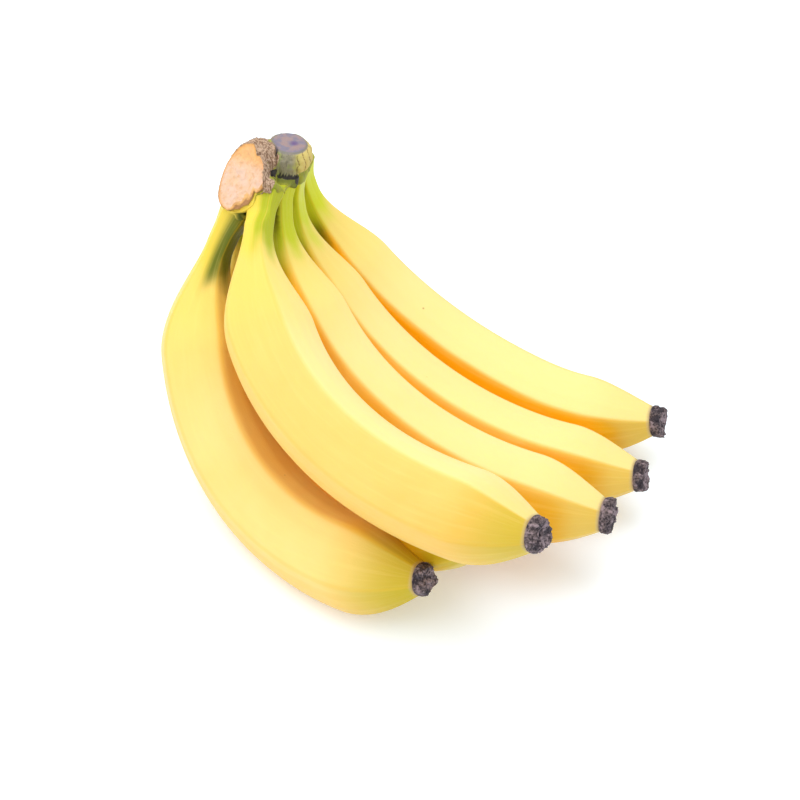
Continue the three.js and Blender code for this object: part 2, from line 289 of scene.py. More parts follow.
class Nodes:
    """Short ways to add and join the nodes of one material."""

    def __init__(self, name):
        self.material = bpy.data.materials.new(name)
        self.material.use_nodes = True
        self.tree = self.material.node_tree
        self.shader = self.tree.nodes["Principled BSDF"]

    def fill(self, socket, value):
        """Joins an output to a socket, or writes a plain value in it."""
        if hasattr(value, "is_output"):
            self.tree.links.new(value, socket)
        else:
            socket.default_value = value

    def put(self, kind, values, **settings):
        node = self.tree.nodes.new(kind)
        for key, value in settings.items():
            setattr(node, key, value)
        for key, value in values.items():
            self.fill(node.inputs[key], value)
        return node

    def attribute(self, name):
        return self.put("ShaderNodeAttribute", {}, attribute_name=name).outputs["Fac"]

    def math(self, operation, *values):
        return self.put("ShaderNodeMath", dict(enumerate(values)), operation=operation).outputs[0]

    def smooth(self, value, low, high, to_low=0.0, to_high=1.0):
        """A soft step from to_low to to_high while the value goes from low to high."""
        values = {"Value": value, "From Min": low, "From Max": high, "To Min": to_low, "To Max": to_high}
        return self.put("ShaderNodeMapRange", values, interpolation_type="SMOOTHSTEP").outputs[0]

    def mix(self, factor, a, b):
        colours = [(*value, 1) if isinstance(value, tuple) else value for value in (a, b)]
        values = {0: factor, 6: colours[0], 7: colours[1]}
        return self.put("ShaderNodeMix", values, data_type="RGBA").outputs[2]

    def place_in_metres(self):
        return self.put("ShaderNodeTexCoord", {}).outputs["Object"]

    def noise(self, scale, detail, at=None):
        values = {"Vector": at or self.place_in_metres(), "Scale": scale, "Detail": detail}
        return self.put("ShaderNodeTexNoise", values).outputs["Fac"]

    def set(self, values):
        """Writes plain values on the shader's own sockets."""
        for key, value in values.items():
            self.shader.inputs[key].default_value = value

    def finish(self, colour, roughness, height, bump_distance, bump_strength):
        values = {"Height": height, "Distance": bump_distance, "Strength": bump_strength}
        bump = self.put("ShaderNodeBump", values).outputs[0]
        self.fill(self.shader.inputs["Base Color"], colour)
        self.fill(self.shader.inputs["Roughness"], roughness)
        self.fill(self.shader.inputs["Normal"], bump)
        return self.material


# The palest yellow comes with painted light on the open flank; the deep orange and the bright orange are
# painted shade and bounced light, the deep one partly the skin's own colour.
RIPE = (0.88, 0.56, 0.145)
RIPE_PALE = (0.88, 0.72, 0.285)
RIPE_DEEP_AND_SHADED = (0.80, 0.335, 0.003)
LEMON = (0.85, 0.64, 0.12)
GAP_SHADE_ORANGE = (1.0, 0.49, 0.004)


def ripe_skin(n, cloud, at):
    """Yellow, lemon below the neck, paler on the open flank with painted light, and orange with painted
    shade and bounced light on the pressed flank, which is partly its own deeper orange, and in the gaps.
    """
    # Painted light: the open flank is paler.
    pale = n.math("MULTIPLY_ADD", cloud, 0.6, n.attribute("sunlit"))
    colour = n.mix(n.smooth(pale, 0.25, 1.15), RIPE, RIPE_PALE)
    colour = n.mix(n.smooth(n.attribute("from_crown"), 35, 95, 0.6, 0.0), colour, LEMON)
    # Painted shade and bounced light, partly the skin's own deeper orange, on the flank facing the
    # neighbours.
    pressed = n.math("MULTIPLY_ADD", n.noise(45, 2, at), 0.5, n.attribute("pressed"))
    colour = n.mix(n.smooth(pressed, 0.22, 1.25), colour, RIPE_DEEP_AND_SHADED)
    # Painted shade and bounced light: bright orange where another finger or the table faces the skin.
    return n.mix(n.smooth(n.attribute("near"), 0.15, 0.7, 0.0, 0.9), colour, GAP_SHADE_ORANGE)


GREEN = (0.36, 0.42, 0.004)
FRESH_GREEN = (0.62, 0.69, 0.012)
NECK_YELLOW = (0.80, 0.62, 0.07)
SHADED_NECK_GREEN = (0.095, 0.125, 0.002)


def green_neck(n, colour, finger, at):
    """The unripe green, which runs further down between the necks than on their open side, with painted
    shade in dark green where a neighbour faces the neck, and yellow on its left-facing side, partly its
    own colour and partly painted light.
    """
    near = n.attribute("near")
    reach = n.math("MULTIPLY_ADD", n.noise(60, 2, at), 20.0, n.attribute("from_crown"))
    reach = n.math("MULTIPLY_ADD", n.attribute("ridge"), 3.0, reach)
    reach = n.math("MULTIPLY_ADD", near, -16.0, reach)
    amount = n.smooth(reach, finger["green"] + 6, finger["green"] + 24, 0.92, 0.0)
    own = tuple(max(a + (b - a) * finger["fresh"], 0.002) for a, b in zip(GREEN, FRESH_GREEN))
    # The left-facing side of the neck is yellow, partly its own colour and partly painted light.
    green = n.mix(n.attribute("left_side"), own, NECK_YELLOW)
    # Painted shade: dark green where a neighbour faces the neck.
    green = n.mix(n.smooth(near, 0.25, 0.75), green, SHADED_NECK_GREEN)
    return n.mix(amount, colour, green)


END_GREEN = (0.53, 0.40, 0.010)
END_RIM = (0.55, 0.42, 0.22)


def olive_end(n, colour, finger):
    """The olive tint near the blossom end, stronger with painted shade away from the pale open flank, and
    the dull rim that it stops at.
    """
    to_tip = n.attribute("to_tip")
    shaded = n.smooth(n.attribute("sunlit"), 0.2, 0.9, 1.0, 0.3)
    olive = n.math("MULTIPLY", n.smooth(to_tip, 2, 38, finger["ripe_end"], 0.0), shaded)
    colour = n.mix(olive, colour, END_GREEN)
    return n.mix(n.smooth(to_tip, 0.2, 1.6, 0.7, 0.0), colour, END_RIM)


def long_streaks(n):
    """Fine unevenness drawn out along the finger."""
    lengthwise = n.math("MULTIPLY", n.attribute("from_crown"), 0.02)
    sideways = n.math("MULTIPLY", n.attribute("around"), 6.0)
    return n.noise(1.6, 4, n.put("ShaderNodeCombineXYZ", {0: lengthwise, 1: sideways}).outputs[0])


SPECK = (0.36, 0.19, 0.05)


def brown_specks(n, colour, at):
    """A tiny brown speck in the middle of a few of the skin's cells."""
    cells = n.put("ShaderNodeTexVoronoi", {"Vector": at, "Scale": 130.0})
    lot = n.put("ShaderNodeSeparateColor", {0: cells.outputs["Color"]}).outputs[0]
    picked = n.math("GREATER_THAN", lot, 0.93)
    speck = n.math("MULTIPLY", n.smooth(cells.outputs["Distance"], 0.03, 0.10, 0.6, 0.0), picked)
    return n.mix(speck, colour, SPECK)


RIDGE_LINE = (0.80, 0.47, 0.03)
STREAK = (0.94, 0.74, 0.24)


def banana_skin(name, finger, number):
    n = Nodes(name)
    own_place = {0: n.place_in_metres(), 1: (number * 0.37, 0, 0)}
    at = n.put("ShaderNodeVectorMath", own_place).outputs[0]
    cloud = n.noise(22, 3, at)
    streak = long_streaks(n)
    colour = ripe_skin(n, cloud, at)
    colour = green_neck(n, colour, finger, at)
    colour = olive_end(n, colour, finger)
    colour = n.mix(n.smooth(n.attribute("ridge"), 0.93, 1.0, 0.0, 0.22), colour, RIDGE_LINE)
    colour = n.mix(n.smooth(streak, 0.45, 0.8, 0.0, 0.16), colour, STREAK)
    colour = brown_specks(n, colour, at)
    height = n.math("MULTIPLY_ADD", streak, 0.6, n.noise(1500, 3, at))
    roughness = n.smooth(cloud, 0.3, 0.7, 0.40, 0.50)
    n.set({"Specular IOR Level": 0.16, "Subsurface Weight": 0.12, "Subsurface Scale": 0.002,
           "Subsurface Radius": (1.0, 0.5, 0.1)})
    return n.finish(colour, roughness, height, 0.0002, 0.3)


for number, finger in enumerate(FINGERS, 1):
    skin = banana_skin(f"banana_skin_{number}", finger, number)
    place(f"fruit_{number}", finger_mesh(finger, number), skin, [f"banana_{number}"])

# ---- The dried blossom ends ----------------------------------------------------------------------------
# The short dark stub left at the end of each banana where its flower dried and broke off: a few crumpled
# layers of dead tissue round a torn, paler middle, with a thin buff rim where the skin stops.

TIP_SIDES = 84
TIP_RINGS = 40
CRUMPLES_ACROSS = 0.30    # crumples to a millimetre, across the stub and along it
CRUMPLES_ALONG = 0.25
FINER = 3.4               # the fine crinkles are this many times smaller
DEAD_BLACK = (0.038, 0.026, 0.030)
DEAD_GREY = (0.16, 0.115, 0.115)
ASH = (0.34, 0.25, 0.27)
TORN_MIDDLE = (0.36, 0.27, 0.29)
CREASE_SHADE_BLACK = (0.020, 0.013, 0.020)
BUFF_RIM = (0.60, 0.44, 0.30)


def tip_mesh(finger, seed):
    rng = np.random.default_rng(seed + 40)
    end = finger["radius"] * finger["end"]
    # The stub's outline from the fruit out and over the torn rim into its hollow: distance and radius.
    outline = np.array([(-1.4, end - 1.6), (-0.3, end - 0.2), (0.5, end + 0.4), (1.8, end + 0.3),
                        (3.2, end - 0.1), (4.2, end - 0.9), (4.4, end - 1.9), (3.9, end - 3.0),
                        (3.6, end - 4.5), (3.7, 0.2)])
    t = np.linspace(0, 1, TIP_RINGS)
    knots = np.linspace(0, 1, len(outline))
    out = np.interp(t, knots, outline[:, 0])
    radius = np.interp(t, knots, outline[:, 1])
    angles = np.linspace(0, 2 * np.pi, TIP_SIDES, endpoint=False)
    points, along, inward, side = middle_line(finger, finger["length"] + out)
    loose = ease((t - 0.12) / 0.25)[:, None]

    # Blunt corners all the way along, then crumples, then fine crinkles.
    corners = np.zeros(TIP_SIDES)
    for k in (2, 3, 5):
        depth = rng.uniform(0.15, 0.45)
        corners += depth * np.cos(k * angles + rng.uniform(0, 6.28))
    crumple = np.zeros((TIP_RINGS, TIP_SIDES))
    fine = np.zeros((TIP_RINGS, TIP_SIDES))
    for i in range(TIP_RINGS):
        for j in range(TIP_SIDES):
            x = CRUMPLES_ACROSS * radius[i] * math.cos(angles[j])
            y = CRUMPLES_ACROSS * radius[i] * math.sin(angles[j])
            spot = Vector((x, y, CRUMPLES_ALONG * out[i] + seed * 7.1))
            crumple[i, j] = noise.noise(spot)
            fine[i, j] = noise.fractal(spot * FINER, 0.8, 2.1, 3)
    reach = radius[:, None] + corners[None] * loose + loose * (1.1 * crumple + 0.35 * fine)
    reach = np.maximum(reach, 0.1)
    rise = loose * (1.2 * crumple + 0.5 * fine)
    rings = points[:, None] + along[:, None] * rise[..., None]
    rings = rings + inward[:, None] * (reach * np.cos(angles))[..., None]
    rings = rings + side[:, None] * (reach * np.sin(angles))[..., None]
    outwards = np.repeat(t[:, None], TIP_SIDES, 1)
    marks = {"outwards": outwards, "crumple": crumple + 0.5 * fine}
    return tube_mesh("tip", rings[:, ::-1], {key: values[:, ::-1] for key, values in marks.items()})


def dried_tissue():
    n = Nodes("dried_blossom")
    outwards = n.attribute("outwards")
    grain = n.noise(1100, 4)
    colour = n.mix(n.smooth(grain, 0.38, 0.62), DEAD_BLACK, DEAD_GREY)
    colour = n.mix(n.smooth(n.noise(520, 3), 0.52, 0.66, 0.0, 0.75), colour, ASH)
    middle = n.math("MULTIPLY", n.smooth(outwards, 0.60, 0.85, 0.0, 0.6), n.smooth(grain, 0.35, 0.6))
    colour = n.mix(middle, colour, TORN_MIDDLE)
    # Painted shade: near black down in the crumples.
    colour = n.mix(n.smooth(n.attribute("crumple"), -0.35, 0.05, 0.85, 0.0), colour, CREASE_SHADE_BLACK)
    colour = n.mix(n.smooth(outwards, 0.12, 0.22, 0.75, 0.0), colour, BUFF_RIM)
    return n.finish(colour, n.smooth(grain, 0.3, 0.7, 0.95, 0.7), grain, 0.0004, 0.8)


tip_skin = dried_tissue()
for number, finger in enumerate(FINGERS, 1):
    place(f"stub_{number}", tip_mesh(finger, number), tip_skin, [f"blossom_tip_{number}"])

# ---- The crown -----------------------------------------------------------------------------------------
# The pad of stem tissue that every neck grows from. A knife took the bunch off with a long slanting cut
# at the front and left a squat stub of stalk standing. The cuts have dried peach and grey, the rest is
# green going brown, and torn scraps of skin hang over the necks.

PAD_PATH = [(-74, 51.1, 112), (-74.2, 58.1, 121.5), (-70.5, 63.6, 129.5), (-62.5, 68.6, 126),
            (-55.5, 78.1, 119), (-54, 89.1, 114), (-54, 100.1, 109.5)]
PAD_FRONT_RADIUS = 10.5
PAD_RADIUS = 8.8
PAD_FRONT = 30            # along the path, where the stout front ends
PAD_HEIGHT = 0.12         # how much taller than wide the pad is, as a share of its radius
PAD_END = 8               # its ends are rounded over this length
FRONT_SWELLING = dict(at=(-66, 56.3, 128), size=(4.9, 8.2, 8.8))
BACK_MASS = dict(at=(-68, 77, 114.5), size=(12.5, 13, 14.5))
SLEEVE_TOP = -4
SLEEVE_THICKNESS = 0.6

# The stub leans a little to the right. Its outline is radius and height above its foot, in millimetres.
STUB_FOOT = np.array((-54.9, 71.6, 123.8))
STUB_LEAN = math.radians(8)
STUB_OUTLINE = np.array([(7.5, 0), (9.8, 1.2), (10.5, 4), (10.1, 7), (8.4, 9.4), (6.6, 10.4)])
STUB_TOP = STUB_OUTLINE[-1, 1]
STUB_RIBS = 17

# The lumps are grown together in cells of this size in metres, and their skin is eased this many times.
CROWN_CELL = 0.00045
CROWN_EASING = 4


def ball(at, size, segments=48):
    """An egg-shaped lump as rings of points."""
    angles = np.linspace(0, 2 * np.pi, segments, endpoint=False)
    tilts = np.linspace(0.02, np.pi - 0.02, segments // 2)
    x = np.sin(tilts)[:, None] * np.cos(angles)
    y = np.sin(tilts)[:, None] * np.sin(angles)
    z = np.repeat(np.cos(tilts)[:, None], segments, 1)
    return np.stack([x, y, z], -1)[:, ::-1] * np.array(size) + np.array(at)


def curve_through(points, count):
    """A smooth curve through every point of a list."""
    padded = np.vstack([2 * points[0] - points[1], points, 2 * points[-1] - points[-2]])
    found = []
    for t in np.linspace(0, len(points) - 1.0001, count):
        k = int(t)
        u = t - k
        p0, p1, p2, p3 = padded[k:k + 4]
        found.append(0.5 * (2 * p1 + (p2 - p0) * u + (2 * p0 - 5 * p1 + 4 * p2 - p3) * u * u
                            + (3 * p1 - p0 - 3 * p2 + p3) * u ** 3))
    return np.array(found)


def pad(rings=70, sides=48):
    """A bent bar with rounded ends, stoutest at the front, a little taller than wide."""
    path = curve_through(np.array(PAD_PATH, float), 400)
    travelled = np.concatenate([[0], np.cumsum(np.linalg.norm(np.diff(path, axis=0), axis=1))])
    length = travelled[-1]
    distance = length / 2 * (1 - np.cos(np.linspace(0.03, np.pi - 0.03, rings)))
    line = np.array([np.interp(distance, travelled, path[:, k]) for k in range(3)]).T
    along = np.gradient(line, axis=0)
    along /= np.linalg.norm(along, axis=1)[:, None]
    side = np.cross(along, (0, 0, 1))
    side /= np.linalg.norm(side, axis=1)[:, None]
    up = np.cross(side, along)
    from_end = np.minimum(np.minimum(distance, length - distance), PAD_END) / PAD_END
    full = PAD_FRONT_RADIUS + (PAD_RADIUS - PAD_FRONT_RADIUS) * ease(distance / PAD_FRONT)
    reach = full * np.sqrt(1 - (1 - from_end) ** 2)
    angles = np.linspace(0, 2 * np.pi, sides, endpoint=False)
    taller = reach[:, None] * (1 + PAD_HEIGHT * np.cos(2 * angles))
    rise = up[:, None] * (taller * np.cos(angles))[..., None]
    spread = side[:, None] * (taller * np.sin(angles))[..., None]
    return line[:, None] + rise + spread


def stub_frame(points):
    """Height over the stub's foot, distance from its axis and angle round it."""
    p = points - STUB_FOOT
    x = p[:, 0] * math.cos(STUB_LEAN) - p[:, 2] * math.sin(STUB_LEAN)
    height = p[:, 0] * math.sin(STUB_LEAN) + p[:, 2] * math.cos(STUB_LEAN)
    return height, np.hypot(x, p[:, 1]), np.arctan2(p[:, 1], x)


def stub(sides=96):
    """The squat stub, rooted a little way down in the pad."""
    outline = np.vstack([[(0.1, -4.0), (6.0, -3.8), (7.2, -1.0)], STUB_OUTLINE, [(0.1, STUB_TOP + 0.1)]])
    angles = np.linspace(0, 2 * np.pi, sides, endpoint=False)
    x = outline[:, :1] * np.cos(angles)
    y = outline[:, :1] * np.sin(angles)
    z = np.repeat(outline[:, 1:], sides, 1)
    leaning_x = x * math.cos(STUB_LEAN) + z * math.sin(STUB_LEAN)
    leaning_z = z * math.cos(STUB_LEAN) - x * math.sin(STUB_LEAN)
    return np.stack([leaning_x, y, leaning_z], -1) + STUB_FOOT


def sleeve(finger, rings=56, sides=64):
    """The pad runs down onto each neck as a close sleeve that ends in a ragged, slightly lifted edge."""
    cover = finger["cover"]
    distances = np.linspace(SLEEVE_TOP, cover + 3, rings)
    points, _, inward, side = middle_line(finger, distances)
    angles = np.linspace(0, 2 * np.pi, sides, endpoint=False)
    d, a = np.meshgrid(distances, angles, indexing="ij")
    phase = a - np.radians(finger["roll"])
    lift = 1 + (RIDGE_HEIGHT + NECK_RIDGES) * np.cos(RIDGES * phase)
    edge = cover + 0.9 * np.sin(3 * a + cover) + 0.6 * np.sin(7 * a + 2 * cover) + 0.3 * np.sin(12 * a)
    reach = finger_radius(finger, d) * lift + SLEEVE_THICKNESS - 1.3 * ease((d - edge) / 1.0)
    reach *= np.sqrt(1 - np.clip(-d / 4.2, 0, 1) ** 2)
    sideways = side[:, None] * (reach * np.sin(a))[..., None]
    return points[:, None] + inward[:, None] * (reach * np.cos(a))[..., None] + sideways


def fused(lumps):
    """Many overlapping lumps grown together into one smooth skin."""
    faces = []
    vertices = []
    start = 0
    for rings in lumps:
        count, sides = rings.shape[:2]
        for i in range(count - 1):
            for j in range(sides):
                k = (j + 1) % sides
                a = start + i * sides
                b = a + sides
                faces.append((a + j, a + k, b + k, b + j))
        faces.append(tuple(start + j for j in range(sides))[::-1])
        faces.append(tuple(start + (count - 1) * sides + j for j in range(sides)))
        vertices.append(rings.reshape(-1, 3) * MM)
        start += count * sides
    mesh = bpy.data.meshes.new("lumps")
    mesh.from_pydata(np.vstack(vertices).tolist(), [], faces)
    holder = bpy.data.objects.new("lumps", mesh)
    bpy.context.scene.collection.objects.link(holder)
    remesh = holder.modifiers.new("grown", "REMESH")
    remesh.mode = "VOXEL"
    remesh.voxel_size = CROWN_CELL
    soften = holder.modifiers.new("soft", "SMOOTH")
    soften.factor = 0.5
    soften.iterations = CROWN_EASING
    grown = bpy.data.meshes.new_from_object(holder.evaluated_get(bpy.context.evaluated_depsgraph_get()))
    bpy.data.objects.remove(holder)
    return grown


def fractal(points, scale, seed=0.0, stretch=(1, 1, 1)):
    """Rough natural unevenness at points in millimetres, about -1 to 1."""
    spots = points * np.array(stretch) * scale + seed
    return np.array([noise.fractal(Vector(spot), 0.8, 2.1, 4) for spot in spots])


def inside(value, low, high, soft_low, soft_high):
    """1 between two bounds, going softly to 0 at each."""
    return ease((value - low) / soft_low) * ease((high - value) / soft_high)


# The sunken terrace round the stub's foot: its left and back edges, how far below the foot it lies, how
# far out it stays level, and how steeply it slopes away from there.
TERRACE_LEFT = -59.2
TERRACE_BACK = 72
TERRACE_DROP = 0.8
TERRACE_LEVEL = 11.5
TERRACE_SLOPE = 0.45


def carve_stub(p, outward, rough):
    """Ribs down the stub's side, its flat cut top, and the terrace round its foot in front."""
    height, radius, angle = stub_frame(p)
    outside = radius - np.interp(height, STUB_OUTLINE[:, 1], STUB_OUTLINE[:, 0])
    on_side = ease((outside + 1.8) / 1.2) * ease(1 - outside / 1.6) * ease((height + 0.2) / 1.0)
    ribs = np.abs(np.sin(STUB_RIBS / 2 * angle + 1.2 * rough["coarse"])) ** 0.6
    below_lip = ease((STUB_TOP - 0.5 - height) / 1.5)
    relief = on_side * below_lip * (0.5 * (ribs - 0.6) + 0.25 * rough["upright"])
    p = p + outward * relief[:, None]
    top = ease((height - STUB_TOP + 1.1) / 0.4) * ease((8.1 - radius) / 0.5)

    in_front = ease((p[:, 0] - TERRACE_LEFT) / 1.5) * ease((TERRACE_BACK - p[:, 1]) / 3)
    round_foot = ease((outside - 0.1) / 0.5) * ease((20 - radius) / 3)
    terrace = -TERRACE_DROP - TERRACE_SLOPE * np.clip(radius - TERRACE_LEVEL, 0, None)
    terrace += 0.3 * rough["coarse"]
    axis = np.array((math.sin(STUB_LEAN), 0, math.cos(STUB_LEAN)))
    p = p - axis * (in_front * round_foot * np.clip(height - terrace, 0, None))[:, None]
    marks = {
        "stub_side": on_side,
        "stub_top": top,
        "top_edge": ease((radius - 6.3) / 1.2) * top,
        "ribs": ribs,
    }
    return p, marks


# The near-black furrow's left end and its reach from the stub's axis, and the small notch beyond that
# end. Both are partly torn tissue and partly painted shadow under the stub's rim.
FURROW_LEFT = -62
FURROW_INNER = 8.8
FURROW_OUTER = 11.5
NOTCH = dict(x=(-63.5, -58.0), y=(53.5, 66.0), z=(125.6, 128.4))


def mark_furrow(p, coarse):
    """The near-black furrow round the stub's foot and the notch at its left end, partly torn tissue and
    partly painted shadow under the stub's rim, and the painted shade of darker green below it.
    """
    height, radius, _ = stub_frame(p)
    below = ease((p[:, 0] - FURROW_LEFT) / 1.5) * ease((TERRACE_BACK - p[:, 1]) / 3)
    below *= ease((1.2 + 0.3 * coarse - height) / 0.8)
    furrow = below * inside(radius, FURROW_INNER, FURROW_OUTER + 0.4 * coarse, 0.8, 0.6)
    bottom, top = NOTCH["z"]
    notch = inside(p[:, 0], *NOTCH["x"], 1.2, 1.0) * inside(p[:, 1], *NOTCH["y"], 1.0, 2.0)
    notch *= inside(p[:, 2], bottom - 0.4 * coarse, top + 0.4 * coarse, 0.8, 0.8)
    return {"furrow": np.maximum(furrow, notch), "below": below * ease((14.5 + coarse - radius) / 2)}


# To the right of CUT_RIGHT the long cut's plane moves out of reach. Its lower hem climbs to the right in
# scallops, and the torn flaps of skin above it stand out over the necks.
CUT_RIGHT = -65.0
CUT_FADE = 7
HEM_LEFT = -75.8
HEM_HEIGHT = 116.8
HEM_RISE = 0.77
SCALLOP_DEPTH = 1.3
SCALLOP_TURN = 0.75       # radians for each millimetre
FLAP_THICKNESS = 1.3


def carve_long_cut(p, outward, rough):
    """Presses everything beyond the knife's plane back to it, down to torn flaps of skin at the hem."""
    coarse = rough["coarse"]
    reach = CUT_REACH + CUT_FADE * ease((p[:, 0] - CUT_RIGHT + coarse) / 3)
    beyond = p @ CUT_FACING - reach + 0.5 * coarse
    hem = HEM_HEIGHT + HEM_RISE * (np.clip(p[:, 0], -80, -62) - HEM_LEFT)
    hem += SCALLOP_DEPTH * np.abs(np.sin(SCALLOP_TURN * p[:, 0])) + 0.8 * coarse
    above_hem = ease((p[:, 2] - hem) / 0.8)
    cut = ease((beyond + 0.25) / 0.5)
    pressed = np.clip(beyond, 0, None) + FLAP_THICKNESS * cut * (1 - above_hem)
    p = p - pressed[:, None] * CUT_FACING
    flaps = cut * ease(1 - np.abs(p[:, 2] - hem - 1.0) / 1.8)
    face = cut * above_hem
    relief = 0.16 * rough["fine"] + 0.10 * rough["upright"] + 0.25 * ease(1 - beyond / 1.6) + 0.5 * flaps
    p = p + CUT_FACING * (face * relief)[:, None]

    # Round the cut the skin is torn back and has dried orange.
    torn = ease((beyond + 3.4 + 1.2 * coarse) / 1.4) * ease((outward @ CUT_FACING + 0.5) / 0.4)
    torn *= ease((-60.5 - p[:, 0]) / 3) * (1 - cut) * above_hem
    found = dict(beyond=beyond, hem=hem, above_hem=above_hem, cut=cut, face=face, flaps=flaps, torn=torn)
    return p, found


# The fibres stand between these two places from left to right, and along the cut above this height.
FIBRES_LEFT = -65.6
FIBRES_RIGHT = -60.0
FIBRES_HEIGHT = 130.5


def raise_fibres(p, outward, rough, face, top):
    """Raises dry fibres along the cut's top and between it and the stub."""
    coarse = rough["coarse"]
    right_end = FIBRES_RIGHT + 2.6 * ease((p[:, 2] - 126) / 5) + 1.5 * coarse
    to_right = inside(p[:, 0], FIBRES_LEFT - 0.6 * coarse, right_end, 1.2, 1.5)
    to_right *= ease((p[:, 2] - 120) / 4) * ease((0.35 - outward[:, 1]) / 0.5) * (1 - top)
    along_top = ease((p[:, 2] - FIBRES_HEIGHT + 1.5 * coarse) / 3) * ease((-61 - p[:, 0]) / 3)
    fibres = np.clip(np.maximum(to_right, along_top), 0, 1) * (1 - face)
    p = p + outward * (fibres * (0.5 * rough["upright"] + 0.25 * rough["fine"]))[:, None]
    return p, fibres


LOBE_LEAN = 0.17          # the front lobe leans right by this much for each millimetre above its foot
LOBE_FOOT = 120


def crown_mesh():
    lumps = [pad(), stub(), ball(**FRONT_SWELLING), ball(**BACK_MASS)]
    lumps += [sleeve(finger) for finger in FINGERS]
    mesh = fused(lumps)
    flat = np.zeros(len(mesh.vertices) * 3, np.float32)
    mesh.vertices.foreach_get("co", flat)
    p = flat.reshape(-1, 3).astype(float) / MM
    mesh.vertices.foreach_get("normal", flat)
    outward = flat.reshape(-1, 3).astype(float)
    coarse = fractal(p, 0.22)
    fine = fractal(p, 0.9, 5.0)
    rough = dict(coarse=coarse, fine=fine, upright=fractal(p, 0.9, 9.0, (1, 1, 0.18)))

    p, stub_marks = carve_stub(p, outward, rough)
    furrow_marks = mark_furrow(p, coarse)
    p, cut = carve_long_cut(p, outward, rough)
    p, fibres = raise_fibres(p, outward, rough, cut["face"], stub_marks["stub_top"])
    p = p + outward * (0.12 * coarse + 0.05 * fine)[:, None] * (1 - cut["cut"])[:, None]
    p[:, 0] += LOBE_LEAN * np.clip(p[:, 2] - LOBE_FOOT, 0, None) * ease((-66 - p[:, 0]) / 6)
    mesh.vertices.foreach_set("co", (p * MM).astype(np.float32).ravel())

    # Most of the patches of colour lie by their place on the crown.
    x, y, z = p.T
    add_marks(mesh, {
        **stub_marks,
        **furrow_marks,
        "face": cut["face"],
        "inside_face": np.clip(np.minimum(cut["beyond"], z - cut["hem"]), 0, 6),
        "flaps": cut["flaps"],
        "torn": cut["torn"],
        "fibres": fibres,
        "neck_skin": (1 - cut["above_hem"]) * ease((-62 - x) / 3) * ease((66 - y) / 4),
        "left": ease((-66 - x) / 3),
        # Painted shade low down between the necks.
        "between_necks": ease((x + 77.5) / 3) * ease((115.5 - z) / 2),
        "brown": ease((-57.5 - x) / 3.5),
        "sunny": ease((x + 53) / 6) * ease((z - 112) / 6),
        "right": ease((x + 55) / 5),
        "uneven": coarse,
    })
    return mesh


CROWN_GREEN = (0.24, 0.29, 0.014)
CROWN_YELLOWING = (0.39, 0.38, 0.030)
CROWN_BROWN = (0.24, 0.16, 0.06)
CROWN_STRINGS = (0.16, 0.15, 0.02)
FIRST_NECK_GREEN = (0.22, 0.28, 0.006)
SHADE_BETWEEN_NECKS = (0.10, 0.12, 0.004)
SHADE_BELOW_STUB = (0.10, 0.13, 0.010)


def crown_skin(n, fibre):
    """Green skin going yellow and brown in patches, with the necks' own colours low down in front, and
    painted shade between the necks and below the stub.
    """
    colour = n.mix(n.smooth(n.noise(110, 3), 0.38, 0.64), CROWN_GREEN, CROWN_YELLOWING)
    colour = n.mix(n.smooth(n.noise(330, 4), 0.56, 0.72, 0.0, 0.55), colour, CROWN_BROWN)
    colour = n.mix(n.smooth(fibre, 0.54, 0.66, 0.0, 0.35), colour, CROWN_STRINGS)
    low = n.mix(n.attribute("left"), FIRST_NECK_GREEN, NECK_YELLOW)
    # Painted shade: dark green low down between the necks.
    low = n.mix(n.attribute("between_necks"), low, SHADE_BETWEEN_NECKS)
    colour = n.mix(n.attribute("neck_skin"), colour, low)
    # Painted shade: darker green below the stub.
    return n.mix(n.math("MULTIPLY", n.attribute("below"), 0.75), colour, SHADE_BELOW_STUB)


STUB_OLIVE = (0.27, 0.32, 0.055)
STUB_DULL = (0.25, 0.23, 0.15)
STUB_GROOVE = (0.15, 0.13, 0.05)
STUB_STRINGS = (0.12, 0.10, 0.06)
STUB_BROWN = (0.17, 0.10, 0.06)
STUB_BUFF = (0.40, 0.28, 0.19)
SUNNY_GROOVE = (0.24, 0.14, 0.04)
SUNNY_RIB = (0.62, 0.49, 0.15)


def stub_side(n, fibre):
    """Olive between darker ribs on the right, brown on the left, and yellow at the sunny end."""
    ribs = n.attribute("ribs")
    colour = n.mix(n.smooth(n.noise(170, 3), 0.40, 0.60), STUB_OLIVE, STUB_DULL)
    grooves = n.math("MULTIPLY", n.smooth(ribs, 0.1, 0.6, 1.0, 0.0), n.attribute("right"))
    colour = n.mix(n.math("MULTIPLY", grooves, 0.7), colour, STUB_GROOVE)
    colour = n.mix(n.smooth(fibre, 0.50, 0.64, 0.0, 0.6), colour, STUB_STRINGS)
    brown = n.mix(n.smooth(fibre, 0.42, 0.58), STUB_BROWN, STUB_BUFF)
    colour = n.mix(n.attribute("brown"), colour, brown)
    sunny = n.mix(n.smooth(ribs, 0.15, 0.6), SUNNY_GROOVE, SUNNY_RIB)
    return n.mix(n.attribute("sunny"), colour, sunny)


TOP_GREY = (0.21, 0.185, 0.24)
TOP_PINK = (0.31, 0.22, 0.215)
TOP_LIP = (0.20, 0.19, 0.14)
BRUISE = (0.12, 0.07, 0.20)
BRUISE_PLACE = (-0.0515, 0.0712, 0.1335)


